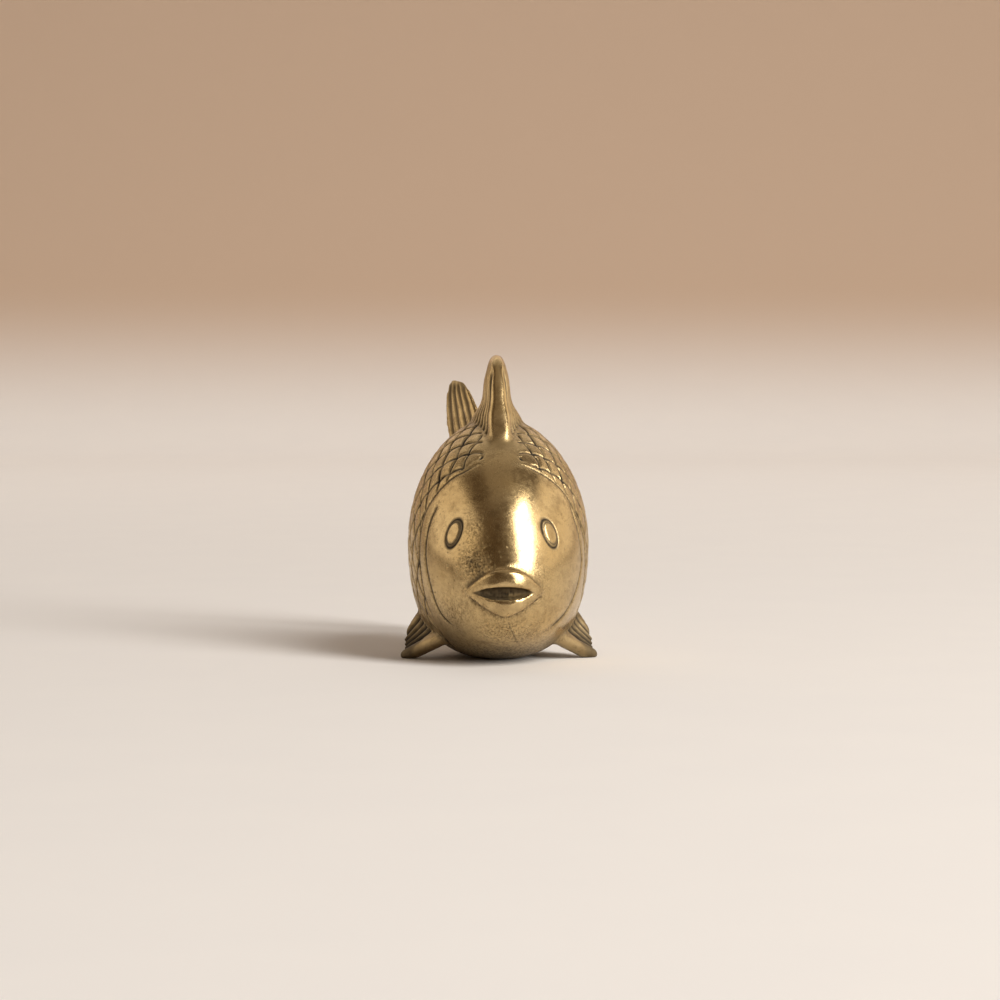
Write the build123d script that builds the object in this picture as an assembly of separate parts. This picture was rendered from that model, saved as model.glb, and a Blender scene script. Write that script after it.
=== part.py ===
from build123d import *
import os

os.makedirs("parts", exist_ok=True)

# The head points along -Y, the median plane is X = 0 and the belly rests on Z = 0.
# Lengths are in millimetres, and places along Y are counted from a point on the flat of the belly.

# Body: a plump hollow casting in two halves
snout_reach = 16.5
stalk_reach = 25.5
broadest_place = 1.0
highest_place = 4.5
lowest_place = 4.0
body_width = 24.0
body_height = 31.7
snout_height = 9.8
stalk_width = 5.2
stalk_depth = 9.4
stalk_height = 17.5
wall = 2.2
snout_solid = 5.0
cavity_reach = 16.0
belly_flat = 0.4
head_power = 1.8
forehead_power = 1.75
chin_power = 2.4
station_shares = (0.004, 0.03, 0.08, 0.15, 0.24, 0.35, 0.47, 0.6, 0.72, 0.83, 0.92, 1)
waist_share = 0.49
crown_share = 0.54
flank_share = 0.56
belly_share = 0.78

# Lips and mouth
lip_width = 10.4
lip_reach = 1.0
lip_narrow_share = 0.85
lip_round = 0.6
upper_lip_rise = 3.0
lower_lip_drop = 3.1
upper_lip_shares = ((1, 0), (0.73, 0.45), (0.5, 1), (0, 1))
lower_lip_shares = ((1, 0), (0.7, 0.5), (0.33, 0.85), (0, 1))
mouth_width = 7.6
mouth_rise = 0.7
mouth_drop = 0.85
mouth_depth = 0.8

# Dorsal fin
dorsal_front = -7.4
dorsal_peak = 5.0
dorsal_back = 21.0
dorsal_rise = 8.3
dorsal_front_rise = -0.6
dorsal_slim_rise = 0.5
dorsal_back_rise = 2.4
dorsal_foot = 10.4
dorsal_blade = 3.4
dorsal_edge = 2.4
dorsal_front_edge = 2.9
dorsal_sink = 2.6
dorsal_station_shares = (0, 0.1, 0.2, 0.3, 0.4, 0.5, 0.6, 0.7, 0.8, 0.9, 1)
dorsal_slim_power = 0.4
dorsal_flare_share = 0.1
dorsal_foot_share = 0.7
dorsal_crest_share = 0.2
blade_pull_share = 0.3
edge_pull_share = 0.9
dorsal_tang = 1.6
dorsal_tang_front = -2.0
dorsal_tang_back = 15.0
dorsal_tang_depth = 1.2
dorsal_ray_count = 9
dorsal_ray_front = -0.5
dorsal_ray_back = 17.0
dorsal_ray_start = 1.4
dorsal_ray_lean = 32
dorsal_ray_fan = 22

# Tail fin, bent to the fish's right
tail_length = 12.0
tail_swing = 5.2
tail_top = 37.6
tail_bottom = 4.0
tail_edge = 1.7
tail_station_shares = (0, 0.2, 0.4, 0.6, 0.8, 1)
tail_slim_power = 0.6
tail_top_power = 0.95
tail_bottom_power = 1.1
tail_full_share = 0.85
tail_lobe_shares = ((0.72, 1.08), (1.12, 1), (1.05, 0.45), (0.58, 0))
tail_tang = 2.0
tail_tang_height = 5.4
tail_tang_length = 4.0
tail_tang_bury = 1.5
tail_ray_count = 8
tail_ray_centre = 3.0
tail_ray_start = 8.0
tail_ray_length = 10.5
tail_ray_low = -42
tail_ray_high = 48

# Pectoral fins, which prop the fish at both sides
pectoral_place = -0.8
pectoral_height = 4.1
pectoral_span = 4.6
pectoral_chord = 8.6
pectoral_plate = 1.3
pectoral_rim = 1.9
pectoral_droop = 50
pectoral_pitch = 31
pectoral_sink = 3.2
pectoral_root_share = 0.75
pectoral_tip_share = 0.07
pectoral_bulge_shares = (0.7, 0.2)
pectoral_rear_share = 0.37
pectoral_tang = 4.0
pectoral_tang_depth = 1.3
pectoral_ray_count = 4
pectoral_ray_start = 0.6
pectoral_ray_length = 2.9
pectoral_ray_trim = 1.1
pectoral_ray_shares = (-0.22, 0.24)
pectoral_ray_lean = 26
pectoral_ray_fan = -24

# Grooves between the rays of all fins
ray_groove = 0.4
ray_depth = 0.3

# Eyes
eye_spread = 12.4
eye_height = 17.1
eye_length = 3.5
eye_breadth = 2.1
eye_dome = 0.5
eye_set = 0.25
eye_depth = 1.2
eye_tilt = 10
eye_groove = 0.3
eye_groove_depth = 0.35

# Seam pins
pin_diameter = 0.9
pin_length = 3.0
pin_back_place = -12.0
pin_belly_places = (-9.0, 12.0)

clearance = 0.05
overrun = 8.0


# Quarter of a rounded curve: steep at 0, level at 1
def swell(share, power):
    return (1 - (1 - share) ** power) ** (1 / power)


# Smooth step: level at both ends
def ease(share):
    return share * share * (3 - 2 * share)


def half_breadth(y, front, inset):
    full = body_width / 2 - inset
    stalk = stalk_width / 2 - inset
    if y < broadest_place:
        return full * swell((y - front) / (broadest_place - front), head_power)
    return full + (stalk - full) * ease((y - broadest_place) / (stalk_reach - broadest_place))


def back_line(y, front, inset):
    top = body_height - inset
    stalk = stalk_height + stalk_depth / 2 - inset
    if y < highest_place:
        share = (y - front) / (highest_place - front)
        return snout_height + (top - snout_height) * swell(share, forehead_power)
    return top + (stalk - top) * ease((y - highest_place) / (stalk_reach - highest_place))


def belly_line(y, front, inset):
    bottom = inset - belly_flat
    stalk = stalk_height - stalk_depth / 2 + inset
    if y < lowest_place:
        share = (y - front) / (lowest_place - front)
        return snout_height + (bottom - snout_height) * swell(share, chin_power)
    return bottom + (stalk - bottom) * ease((y - lowest_place) / (stalk_reach - lowest_place))


# A closed section across Y: egg-shaped, or nearly square as its fullness nears 1
def oval(y, x, half, top, bottom, crown, flank, belly):
    waist = bottom + (top - bottom) * waist_share
    upper = waist + (top - waist) * flank
    lower = waist + (bottom - waist) * flank
    edges = []
    for reach in (half, -half):
        side = x + reach
        above = x + reach * crown
        below = x + reach * belly
        edges.append(Bezier((x, y, top), (above, y, top), (side, y, upper), (side, y, waist)))
        edges.append(Bezier((side, y, waist), (side, y, lower), (below, y, bottom), (x, y, bottom)))
    return make_face(edges)


# The body's shape between two places along Y, drawn in all round by an inset
def hull(front, reach, inset):
    sections = []
    for share in station_shares:
        y = front + (reach - front) * share
        half = half_breadth(y, front, inset)
        top = back_line(y, front, inset)
        bottom = belly_line(y, front, inset)
        sections.append(oval(y, 0, half, top, bottom, crown_share, flank_share, belly_share))
    return loft(sections)


# What lies deeper than a given depth under the body's surface
def core(depth):
    return hull(depth - snout_reach, stalk_reach, depth)


# An ellipsoid about a point
def ellipsoid(centre, halves):
    return Pos(*centre) * scale(Sphere(1), by=halves)


# The slot that a bar cuts into the body, down to a depth under the surface
def slot_for(bar, depth):
    return bar - core(depth)


# Everything under the table
def below_table():
    width = body_width + 2 * (pectoral_span + overrun)
    length = snout_reach + stalk_reach + tail_length + 2 * overrun
    return Box(width, 2 * length, overrun, align=(Align.CENTER, Align.CENTER, Align.MAX))


# Both lips: a raised shape over the snout, hooded above and pointed below
def lips(outer):
    curves = []
    for half in (lip_width / 2, -lip_width / 2):
        for shares, reach in ((upper_lip_shares, upper_lip_rise), (lower_lip_shares, -lower_lip_drop)):
            points = [(half * across, 0, snout_height + reach * up) for across, up in shares]
            curves.append(Bezier(*points))
    block = extrude(make_face(curves), snout_reach + overrun, dir=(0, -1, 0))
    raised = Pos(0, -lip_reach, 0) * scale(outer, by=(lip_narrow_share, 1, 1)) & block
    return fillet(raised.faces().sort_by(Axis.Y)[0].edges(), lip_round)


# The mouth's opening: two arcs that meet in pointed corners
def mouth():
    corners = ((-mouth_width / 2, 0, snout_height), (mouth_width / 2, 0, snout_height))
    above = ThreePointArc(corners[0], (0, 0, snout_height + mouth_rise), corners[1])
    below = ThreePointArc(corners[0], (0, 0, snout_height - mouth_drop), corners[1])
    opening = extrude(make_face([above, below]), overrun, dir=(0, -1, 0))
    return Pos(0, mouth_depth - snout_reach, 0) * opening


# Height of the dorsal fin above the back
def dorsal_crest(y):
    low = dorsal_front_rise
    share = (y - dorsal_front) / (dorsal_peak - dorsal_front)
    if y > dorsal_peak:
        low = dorsal_back_rise
        share = (dorsal_back - y) / (dorsal_back - dorsal_peak)
    return low + (dorsal_rise - low) * ease(share)


# Section across the dorsal fin: a wide foot that draws in to a blade with a round edge
def bell(y, thinning):
    rise = dorsal_crest(y)
    slim = (max(rise, dorsal_slim_rise) / dorsal_rise) ** dorsal_slim_power
    back = back_line(y, -snout_reach, 0)
    top = back + rise - thinning * dorsal_crest_share
    low = back - dorsal_sink
    bend = back + rise * dorsal_flare_share
    foot = min(dorsal_foot / 2 * slim, half_breadth(y, -snout_reach, 0) * dorsal_foot_share) - thinning
    blade = (dorsal_blade * blade_pull_share - thinning) * slim
    edge = dorsal_edge * slim
    if y < dorsal_peak:
        edge = dorsal_edge + (dorsal_front_edge - dorsal_edge) * (1 - rise / dorsal_rise)
    edge = edge * edge_pull_share - thinning
    right = Bezier((foot, y, low), (blade, y, bend), (edge, y, top), (0, y, top))
    left = Bezier((0, y, top), (-edge, y, top), (-blade, y, bend), (-foot, y, low))
    return make_face([right, left, Line((-foot, y, low), (foot, y, low))])


def dorsal_blade_loft(thinning):
    sections = []
    for share in dorsal_station_shares:
        sections.append(bell(dorsal_front + (dorsal_back - dorsal_front) * share, thinning))
    return loft(sections)


def dorsal_bar(play):
    length = dorsal_tang_back - dorsal_tang_front + 2 * play
    middle = (dorsal_tang_front + dorsal_tang_back) / 2
    return Pos(0, middle, body_height) * Box(dorsal_tang + 2 * play, length, 2 * overrun)


def dorsal_grooves():
    grooves = []
    for index in range(dorsal_ray_count):
        share = index / (dorsal_ray_count - 1)
        y = dorsal_ray_front + (dorsal_ray_back - dorsal_ray_front) * share
        start = back_line(y, -snout_reach, 0) + dorsal_ray_start
        knife = Box(dorsal_foot, ray_groove, 2 * dorsal_rise, align=(Align.CENTER, Align.CENTER, Align.MIN))
        grooves.append(Pos(0, y, start) * Rot(-dorsal_ray_lean - dorsal_ray_fan * share, 0, 0) * knife)
    return grooves


def make_dorsal_fin(outer):
    inner = dorsal_blade_loft(ray_depth)
    cuts = [groove - inner for groove in dorsal_grooves()]
    fin = dorsal_blade_loft(0) - cuts
    return fin - (outer - dorsal_bar(0)) - core(dorsal_tang_depth)


# Section across the tail fin, from the oval stalk at share 0 to a thin high blade at share 1
def tail_section(share, thinning):
    stalk_top = stalk_height + stalk_depth / 2
    stalk_bottom = stalk_height - stalk_depth / 2
    y = stalk_reach + tail_length * share
    x = -tail_swing * share * share
    half = stalk_width / 2 + (tail_edge - stalk_width) / 2 * share ** tail_slim_power - thinning
    top = stalk_top + (tail_top - stalk_top) * share ** tail_top_power - thinning
    bottom = stalk_bottom + (tail_bottom - stalk_bottom) * share ** tail_bottom_power + thinning
    crown = crown_share + (tail_full_share - crown_share) * share
    flank = flank_share + (tail_full_share - flank_share) * share
    belly = belly_share + (tail_full_share - belly_share) * share
    return oval(y, x, half, top, bottom, crown, flank, belly)


def tail_blade_loft(thinning):
    return loft([tail_section(share, thinning) for share in tail_station_shares])


# The forked outline seen from the side, as a block that the blade is cut with
def tail_outline():
    curves = []
    corners = []
    for tip in (tail_top, tail_bottom):
        points = []
        for along_share, height_share in tail_lobe_shares:
            height = stalk_height + (tip - stalk_height) * height_share
            points.append(Vector(0, stalk_reach + tail_length * along_share, height))
        root = Vector(0, stalk_reach - overrun, points[0].Z)
        curves.append(Bezier(*points))
        curves.append(Line(points[0], root))
        corners.append(root)
    curves.append(Line(corners[0], corners[1]))
    return extrude(make_face(curves), tail_swing + stalk_width, dir=(1, 0, 0), both=True)


def tail_grooves():
    grooves = []
    width = 2 * (tail_swing + stalk_width)
    for index in range(tail_ray_count):
        share = index / (tail_ray_count - 1)
        angle = tail_ray_low + (tail_ray_high - tail_ray_low) * share
        length = tail_ray_length * abs(2 * share - 1)
        knife = Box(width, length, ray_groove, align=(Align.CENTER, Align.MIN, Align.CENTER))
        centre = Pos(0, stalk_reach - tail_ray_centre, stalk_height)
        grooves.append(centre * Rot(angle, 0, 0) * Pos(0, tail_ray_start, 0) * knife)
    return grooves


def tail_bar(play):
    length = tail_tang_length + tail_tang_bury + play
    middle = stalk_reach + tail_tang_bury - length / 2
    return Pos(0, middle, stalk_height) * Box(tail_tang + 2 * play, length, tail_tang_height + 2 * play)


def make_tail_fin():
    rays = tail_blade_loft(0) - tail_grooves()
    blade = rays + tail_blade_loft(ray_depth)
    return (blade & tail_outline()) + tail_bar(0)


# Where the left pectoral fin meets the body: its own X runs out along the span, its Y back along the chord
def pectoral_seat(outer):
    line = Axis((0, pectoral_place, pectoral_height), (-1, 0, 0))
    point = outer.find_intersection_points(line)[0][0]
    return Pos(*point) * Rot(0, pectoral_droop, 0) * Rot(pectoral_pitch, 0, 0)


def pectoral_bar(play):
    return Box(2 * pectoral_sink, pectoral_tang + 2 * play, pectoral_plate + 2 * play)


def pectoral_grooves():
    grooves = []
    first, last = pectoral_ray_shares
    for index in range(pectoral_ray_count):
        share = index / (pectoral_ray_count - 1)
        place = pectoral_chord * (first + (last - first) * share)
        align = (Align.MIN, Align.CENTER, Align.CENTER)
        length = pectoral_ray_length - pectoral_ray_trim * share
        knife = Box(length, ray_groove, 2 * ray_depth, align=align)
        for face in (pectoral_plate / 2, -pectoral_plate / 2):
            turn = Rot(0, 0, pectoral_ray_lean + pectoral_ray_fan * share)
            grooves.append(Pos(pectoral_ray_start, place, face) * turn * knife)
    return grooves


def make_pectoral_fin(outer):
    root = Vector(-pectoral_sink, -pectoral_chord * pectoral_root_share)
    tip = Vector(pectoral_span, -pectoral_chord * pectoral_tip_share)
    bulge_span, bulge_chord = pectoral_bulge_shares
    bulge = Vector(pectoral_span * bulge_span, pectoral_chord * bulge_chord)
    rear = Vector(0, pectoral_chord * pectoral_rear_share)
    rear_root = Vector(-pectoral_sink, pectoral_chord * pectoral_rear_share)
    trailing = ThreePointArc(tip, bulge, rear)
    outline = [Line(root, tip), trailing, Line(rear, rear_root), Line(rear_root, root)]
    plate = extrude(make_face(outline), pectoral_plate / 2, both=True)
    rim_start = Plane(origin=root, z_dir=tip - root)
    rim = extrude(rim_start * Circle(pectoral_rim / 2), (tip - root).length)
    fin = plate - pectoral_grooves() + rim + Pos(*tip) * Sphere(pectoral_rim / 2)
    seat = pectoral_seat(outer)
    fin = seat * fin - (outer - seat * pectoral_bar(0)) - core(pectoral_tang_depth)
    return fin - below_table()


# Where the left eye sits: its own X runs up along the oval, its Z out of the head
def eye_seat(outer):
    line = Axis((eye_spread / 2, 0, eye_height), (0, 1, 0))
    point, normal = outer.find_intersection_points(line)[0]
    up = Vector(0, 0, 1)
    seat = Plane(point - normal * eye_set, x_dir=up - normal * normal.dot(up), z_dir=normal)
    return seat.location * Rot(0, 0, eye_tilt)


def eye_oval(margin):
    return Ellipse(eye_length / 2 + margin, eye_breadth / 2 + margin)


def make_eye(outer):
    shank = extrude(eye_oval(0), -eye_depth)
    return eye_seat(outer) * (shank + ellipsoid((0, 0, 0), (eye_length / 2, eye_breadth / 2, eye_dome)))


def eye_socket(outer):
    hole = extrude(eye_oval(clearance), -eye_depth - clearance)
    ring = Pos(0, 0, -eye_groove_depth) * extrude(eye_oval(eye_groove), eye_groove_depth + eye_depth)
    return eye_seat(outer) * (hole + ring)


# Pins across the seam, in the middle of the wall and in the solid stalk
def seam_pins(play):
    front = wall / 2 - snout_reach
    stalk_place = (cavity_reach + stalk_reach - tail_tang_length) / 2
    stalk_middle = (back_line(stalk_place, front, 0) + belly_line(stalk_place, front, 0)) / 2
    places = [(pin_back_place, back_line(pin_back_place, front, wall / 2)), (stalk_place, stalk_middle)]
    for y in pin_belly_places:
        places.append((y, belly_line(y, front, wall / 2)))
    pin = Rot(0, 90, 0) * Cylinder(pin_diameter / 2 + play, pin_length + 2 * play)
    return [Pos(0, y, z) * pin for y, z in places]


def make_body(outer):
    body = outer + lips(outer) - mouth()
    body -= hull(snout_solid - snout_reach, cavity_reach, wall)
    body -= below_table()
    body -= slot_for(dorsal_bar(clearance), dorsal_tang_depth + clearance)
    body -= tail_bar(clearance)
    pectoral_hole = pectoral_seat(outer) * pectoral_bar(clearance)
    pectoral_slot = slot_for(pectoral_hole, pectoral_tang_depth + clearance)
    for cut in (pectoral_slot, eye_socket(outer)):
        body -= cut
        body -= mirror(cut, about=Plane.YZ)
    return body - seam_pins(clearance)


outer = hull(-snout_reach, stalk_reach, 0)
body = make_body(outer)
pectoral_fin = make_pectoral_fin(outer)
eye = make_eye(outer)
pieces = {
    "body_left_half": split(body, bisect_by=Plane.YZ, keep=Keep.TOP),
    "body_right_half": split(body, bisect_by=Plane.YZ, keep=Keep.BOTTOM),
    "dorsal_fin": make_dorsal_fin(outer),
    "tail_fin": make_tail_fin(),
    "pectoral_fin_left": pectoral_fin,
    "pectoral_fin_right": mirror(pectoral_fin, about=Plane.YZ),
    "eye_left": eye,
    "eye_right": mirror(eye, about=Plane.YZ),
    "seam_pins": Compound(children=seam_pins(0)),
}
for name, piece in pieces.items():
    export_step(piece, f"parts/{name}.step")
    print(name, len(piece.solids()), round(piece.volume, 1))
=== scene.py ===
import math

import bmesh
import bpy
import numpy as np
from mathutils import Euler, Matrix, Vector
from mathutils.bvhtree import BVHTree


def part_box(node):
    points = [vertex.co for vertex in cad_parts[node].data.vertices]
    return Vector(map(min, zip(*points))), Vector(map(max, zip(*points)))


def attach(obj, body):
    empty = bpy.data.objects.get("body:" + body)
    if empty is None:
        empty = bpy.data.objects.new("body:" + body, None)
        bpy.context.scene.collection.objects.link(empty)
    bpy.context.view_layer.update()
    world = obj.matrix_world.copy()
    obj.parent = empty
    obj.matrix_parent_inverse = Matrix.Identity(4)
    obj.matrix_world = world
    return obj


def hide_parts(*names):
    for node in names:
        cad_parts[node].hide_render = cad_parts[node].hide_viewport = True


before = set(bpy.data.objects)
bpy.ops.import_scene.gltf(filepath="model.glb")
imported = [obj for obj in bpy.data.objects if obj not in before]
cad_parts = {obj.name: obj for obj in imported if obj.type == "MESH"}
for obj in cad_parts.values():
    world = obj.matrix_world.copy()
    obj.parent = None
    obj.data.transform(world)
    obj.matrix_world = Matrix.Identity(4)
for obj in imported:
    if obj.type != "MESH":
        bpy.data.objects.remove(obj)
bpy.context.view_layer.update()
mm = 0.001
tiny = 1e-6     # keeps divisions finite

# Sculpting is done in millimetres, and the finished pieces go back to metres.


def newObject(name, mesh):
    obj = bpy.data.objects.new(name, mesh)
    bpy.context.scene.collection.objects.link(obj)
    return obj


def smoothStep(low, high, value):
    share = np.clip((value - low) / (high - low), 0, 1)
    return share * share * (3 - 2 * share)


def onlyKind(items, kind):
    return [item for item in items if isinstance(item, kind)]


def readArray(items, name, width, kind=np.float32):
    values = np.empty(len(items) * width, kind)
    items.foreach_get(name, values)
    return values.reshape(-1, width) if width > 1 else values


# The cast skin: all outer pieces melted into one surface
castSkin = {
    "bodyNodes": ["body_left_half", "body_right_half"],
    "finNodes": ["dorsal_fin", "tail_fin", "pectoral_fin_left", "pectoral_fin_right"],
    "eyeNodes": ["eye_right", "eye_left"],
    "mergeGap": 0.002 * mm,
    "voxel": 0.2,
    "fairRounds": 22,       # evens out the voxel steps
    "fairPush": (0.5, -0.53),
    "rootRings": 6,         # mesh rings either side of a fin root that are filled to a fillet
    "rootRounds": 22,
    "rootPush": 0.5,
    "finRounds": 9,         # rounds the edges of tail and pectoral fins
    "crestRounds": 5,       # rounds the dorsal fin's front band
    "rootDark": 0.22,       # oxide that stays along the fin roots
    "leastWeight": 0.001,   # points below this stay where they are
    "labelMargin": 0.6,
    "bodyCap": 1.2,         # how far the closed side of a cut piece lies inside the casting
    "finCap": 0.9,
}


def nodeCopy(names):
    joined = bmesh.new()
    for name in names:
        one = bmesh.new()
        one.from_mesh(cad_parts[name].data)
        bmesh.ops.remove_doubles(one, verts=one.verts, dist=castSkin["mergeGap"])
        held = bpy.data.meshes.new("held")
        one.to_mesh(held)
        one.free()
        joined.from_mesh(held)
        bpy.data.meshes.remove(held)
    bmesh.ops.scale(joined, vec=(1 / mm,) * 3, verts=joined.verts)
    return joined


def meltedSkin():
    joined = nodeCopy(castSkin["bodyNodes"] + castSkin["finNodes"] + castSkin["eyeNodes"])
    mesh = bpy.data.meshes.new("castSkin")
    joined.to_mesh(mesh)
    joined.free()
    obj = newObject("castSkin", mesh)
    melt = obj.modifiers.new("melt", "REMESH")
    melt.mode = "VOXEL"
    melt.voxel_size = castSkin["voxel"]
    made = bpy.data.meshes.new_from_object(obj.evaluated_get(bpy.context.evaluated_depsgraph_get()))
    bpy.data.objects.remove(obj)
    keepOuter(made)
    return made


def linkedVerts(start, allowed):
    found = {start}
    front = [start]
    while front:
        vert = front.pop()
        for edge in vert.link_edges:
            other = edge.other_vert(vert)
            if other in allowed and other not in found:
                found.add(other)
                front.append(other)
    return found


def keepOuter(mesh):
    bm = bmesh.new()
    bm.from_mesh(mesh)
    outer = linkedVerts(max(bm.verts, key=lambda vert: vert.co.z), set(bm.verts))
    inner = [vert for vert in bm.verts if vert not in outer]
    bmesh.ops.delete(bm, geom=inner, context="VERTS")
    bm.to_mesh(mesh)
    bm.free()


def pull(points, edges, counts, push):
    mean = np.empty_like(points)
    for axis in range(3):
        near = np.bincount(edges[:, 0], points[edges[:, 1], axis], len(points))
        near += np.bincount(edges[:, 1], points[edges[:, 0], axis], len(points))
        mean[:, axis] = near / counts
    return points + (mean - points) * push


def fair(points, edges, rounds, pushes, weight=None):
    if weight is None:
        weight = np.ones(len(points))
    moving = weight > castSkin["leastWeight"]
    edges = edges[moving[edges].any(1)]
    used, local = np.unique(edges, return_inverse=True)
    local = local.reshape(-1, 2)
    part = points[used]
    counts = np.maximum(np.bincount(local.ravel(), minlength=len(used)), 1)
    for turn in range(rounds):
        for push in pushes:
            part = pull(part, local, counts, push * (weight * moving)[used, None])
    points = points.copy()
    points[used] = part
    return points


def setPoints(mesh, points):
    mesh.vertices.foreach_set("co", points.astype(np.float32).ravel())
    mesh.update()


# Which piece a vertex belongs to: 0 is the body, then the fins in the order of finNodes
bodyTree = BVHTree.FromBMesh(nodeCopy(castSkin["bodyNodes"]))
finTrees = [BVHTree.FromBMesh(nodeCopy([name])) for name in castSkin["finNodes"]]


def finLabels(points):
    labels = np.zeros(len(points), int)
    margin = castSkin["labelMargin"]
    for index, name in enumerate(castSkin["finNodes"]):
        low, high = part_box(name)
        low = np.array(low) / mm - margin
        high = np.array(high) / mm + margin
        inside = np.where(((points > low) & (points < high)).all(1))[0]
        for number in inside:
            place = Vector(points[number])
            toFin = finTrees[index].find_nearest(place)[3]
            toBody = bodyTree.find_nearest(place)[3]
            if toFin < toBody:
                labels[number] = index + 1
    return labels


def rootWeight(labels, edges, rings):
    weight = (np.bincount(edges.ravel(), np.repeat(labels[edges[:, 0]] != labels[edges[:, 1]], 2),
                          len(labels)) > 0).astype(float)
    for ring in range(rings):
        spread = weight.copy()
        np.maximum.at(spread, edges[:, 0], weight[edges[:, 1]] - 1 / rings)
        np.maximum.at(spread, edges[:, 1], weight[edges[:, 0]] - 1 / rings)
        weight = spread
    return np.clip(weight, 0, 1)


# Where the casting is rounded off most: both ends of the dorsal fin, the tail's tips and its middle
softSpots = [
    {"place": (0, -6.6, 27.0), "reach": (2.6, 2.6, 1.9), "rounds": 160},
    {"place": (0, 21.0, 25.6), "reach": (2.0, 1.6, 1.8), "rounds": 60},
    {"place": (-4.6, 36.2, 36.2), "reach": (2.5, 2.5, 1.5), "rounds": 14},
    {"place": (-4.6, 36.2, 5.0), "reach": (2.5, 2.5, 1.5), "rounds": 14},
    {"place": (-2.5, 31.5, 18.0), "reach": (6.0, 4.5, 6.5), "rounds": 25},
]


def spotWeight(points, spot):
    gap = np.linalg.norm((points - np.array(spot["place"])) / np.array(spot["reach"]), axis=1)
    return np.exp(-gap ** 2)


# The dorsal fin's sides draw in above its foot
dorsalWaist = {"share": 0.13, "height": 34.0, "reach": 1.6, "foot": (31.6, 33.0), "back": 20.0}


def slimDorsal(points):
    z = points[:, 2]
    near = np.exp(-((z - dorsalWaist["height"]) / dorsalWaist["reach"]) ** 2)
    near *= smoothStep(*dorsalWaist["foot"], z)
    slim = points.copy()
    slim[:, 0] *= 1 - dorsalWaist["share"] * near * (points[:, 1] < dorsalWaist["back"])
    return slim


# Eyes: domed ovals inside a cut ring and a finer line
eyes = {
    "shift": -0.2,          # both sit a little to the fish's right
    "spread": 0.48,
    "rise": 0.27,
    "length": 1.95,         # half sizes of the outer ring
    "breadth": 1.22,
    "tilt": 12,
    "patch": (2.2, 2.9, 4.2),       # from the centre: smoothed fully, fading out, and fitted to
    "around": 4.0,          # the surface that gives an eye its direction
    "behind": 3.0,
    "thick": 2.0,
    "ring": {"width": 0.2, "depth": 0.13},
    "line": {"share": 0.76, "width": 0.1, "depth": 0.06, "dark": 0.9},
    "bandDark": (0.55, 0.1),        # oxide between ring and line, right eye and left
    "bandEdge": 0.06,
    "studShare": 0.97,
    "dome": 0.16,
}


def eyeFrame(name, points, normals):
    low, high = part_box(name)
    middle = (np.array(low) + np.array(high)) / 2 / mm
    middle += [eyes["shift"] + eyes["spread"] * np.sign(middle[0]), 0, eyes["rise"]]
    front = points[:, 1] < middle[1] + eyes["behind"]
    gap = np.where(front, (points[:, 0] - middle[0]) ** 2 + (points[:, 2] - middle[2]) ** 2, np.inf)
    around = gap < eyes["around"] ** 2
    out = normals[around].mean(0)
    out /= np.linalg.norm(out)
    up = np.array([0, 0, 1]) - out * out[2]
    up /= np.linalg.norm(up)
    across = np.cross(up, out)
    turn = math.radians(eyes["tilt"]) * -np.sign(middle[0])
    along = up * math.cos(turn) + across * math.sin(turn)
    across = np.cross(along, out)
    return points[gap.argmin()].astype(float), along, across, out


def eyeCoordinates(points, place):
    centre, along, across, out = place
    rel = points - centre
    return rel @ along, rel @ across, rel @ out


def smoothEyePatch(points, place):
    inner, middle, outer = eyes["patch"]
    a, b, h = eyeCoordinates(points, place)
    reach = np.hypot(a, b)
    near = (abs(h) < outer) & (reach < outer)
    ring = near & (reach > middle)
    terms = np.stack([np.ones_like(a), a, b, a * a, a * b, b * b, a ** 3, b ** 3, a * a * b, a * b * b], 1)
    fit = np.linalg.lstsq(terms[ring], h[ring], rcond=None)[0]
    blend = np.where(near, 1 - smoothStep(inner, middle, reach), 0)
    return points + np.outer(blend * (terms @ fit - h), place[3])


def eyeCut(points, place, bandDark):
    ringSet, lineSet = eyes["ring"], eyes["line"]
    a, b, h = eyeCoordinates(points, place)
    near = abs(h) < eyes["thick"]
    reach = np.hypot(a / eyes["length"], b / eyes["breadth"])
    size = (eyes["length"] + eyes["breadth"]) / 2
    ring = np.exp(-((reach - 1) * size / ringSet["width"]) ** 2) * near
    line = np.exp(-((reach - lineSet["share"]) * size / lineSet["width"]) ** 2) * near
    dome = np.sqrt(np.clip(1 - reach ** 2, 0, 1)) * near
    depth = ring * ringSet["depth"] + line * lineSet["depth"] - dome * eyes["dome"]
    band = smoothStep(lineSet["share"], lineSet["share"] + eyes["bandEdge"], reach) * (reach < 1) * near
    return depth, (1 - ring) * (1 - line * lineSet["dark"]) * (1 - band * bandDark)


def mirrored(path):
    return [(-x, y, z) for x, y, z in path]


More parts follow.
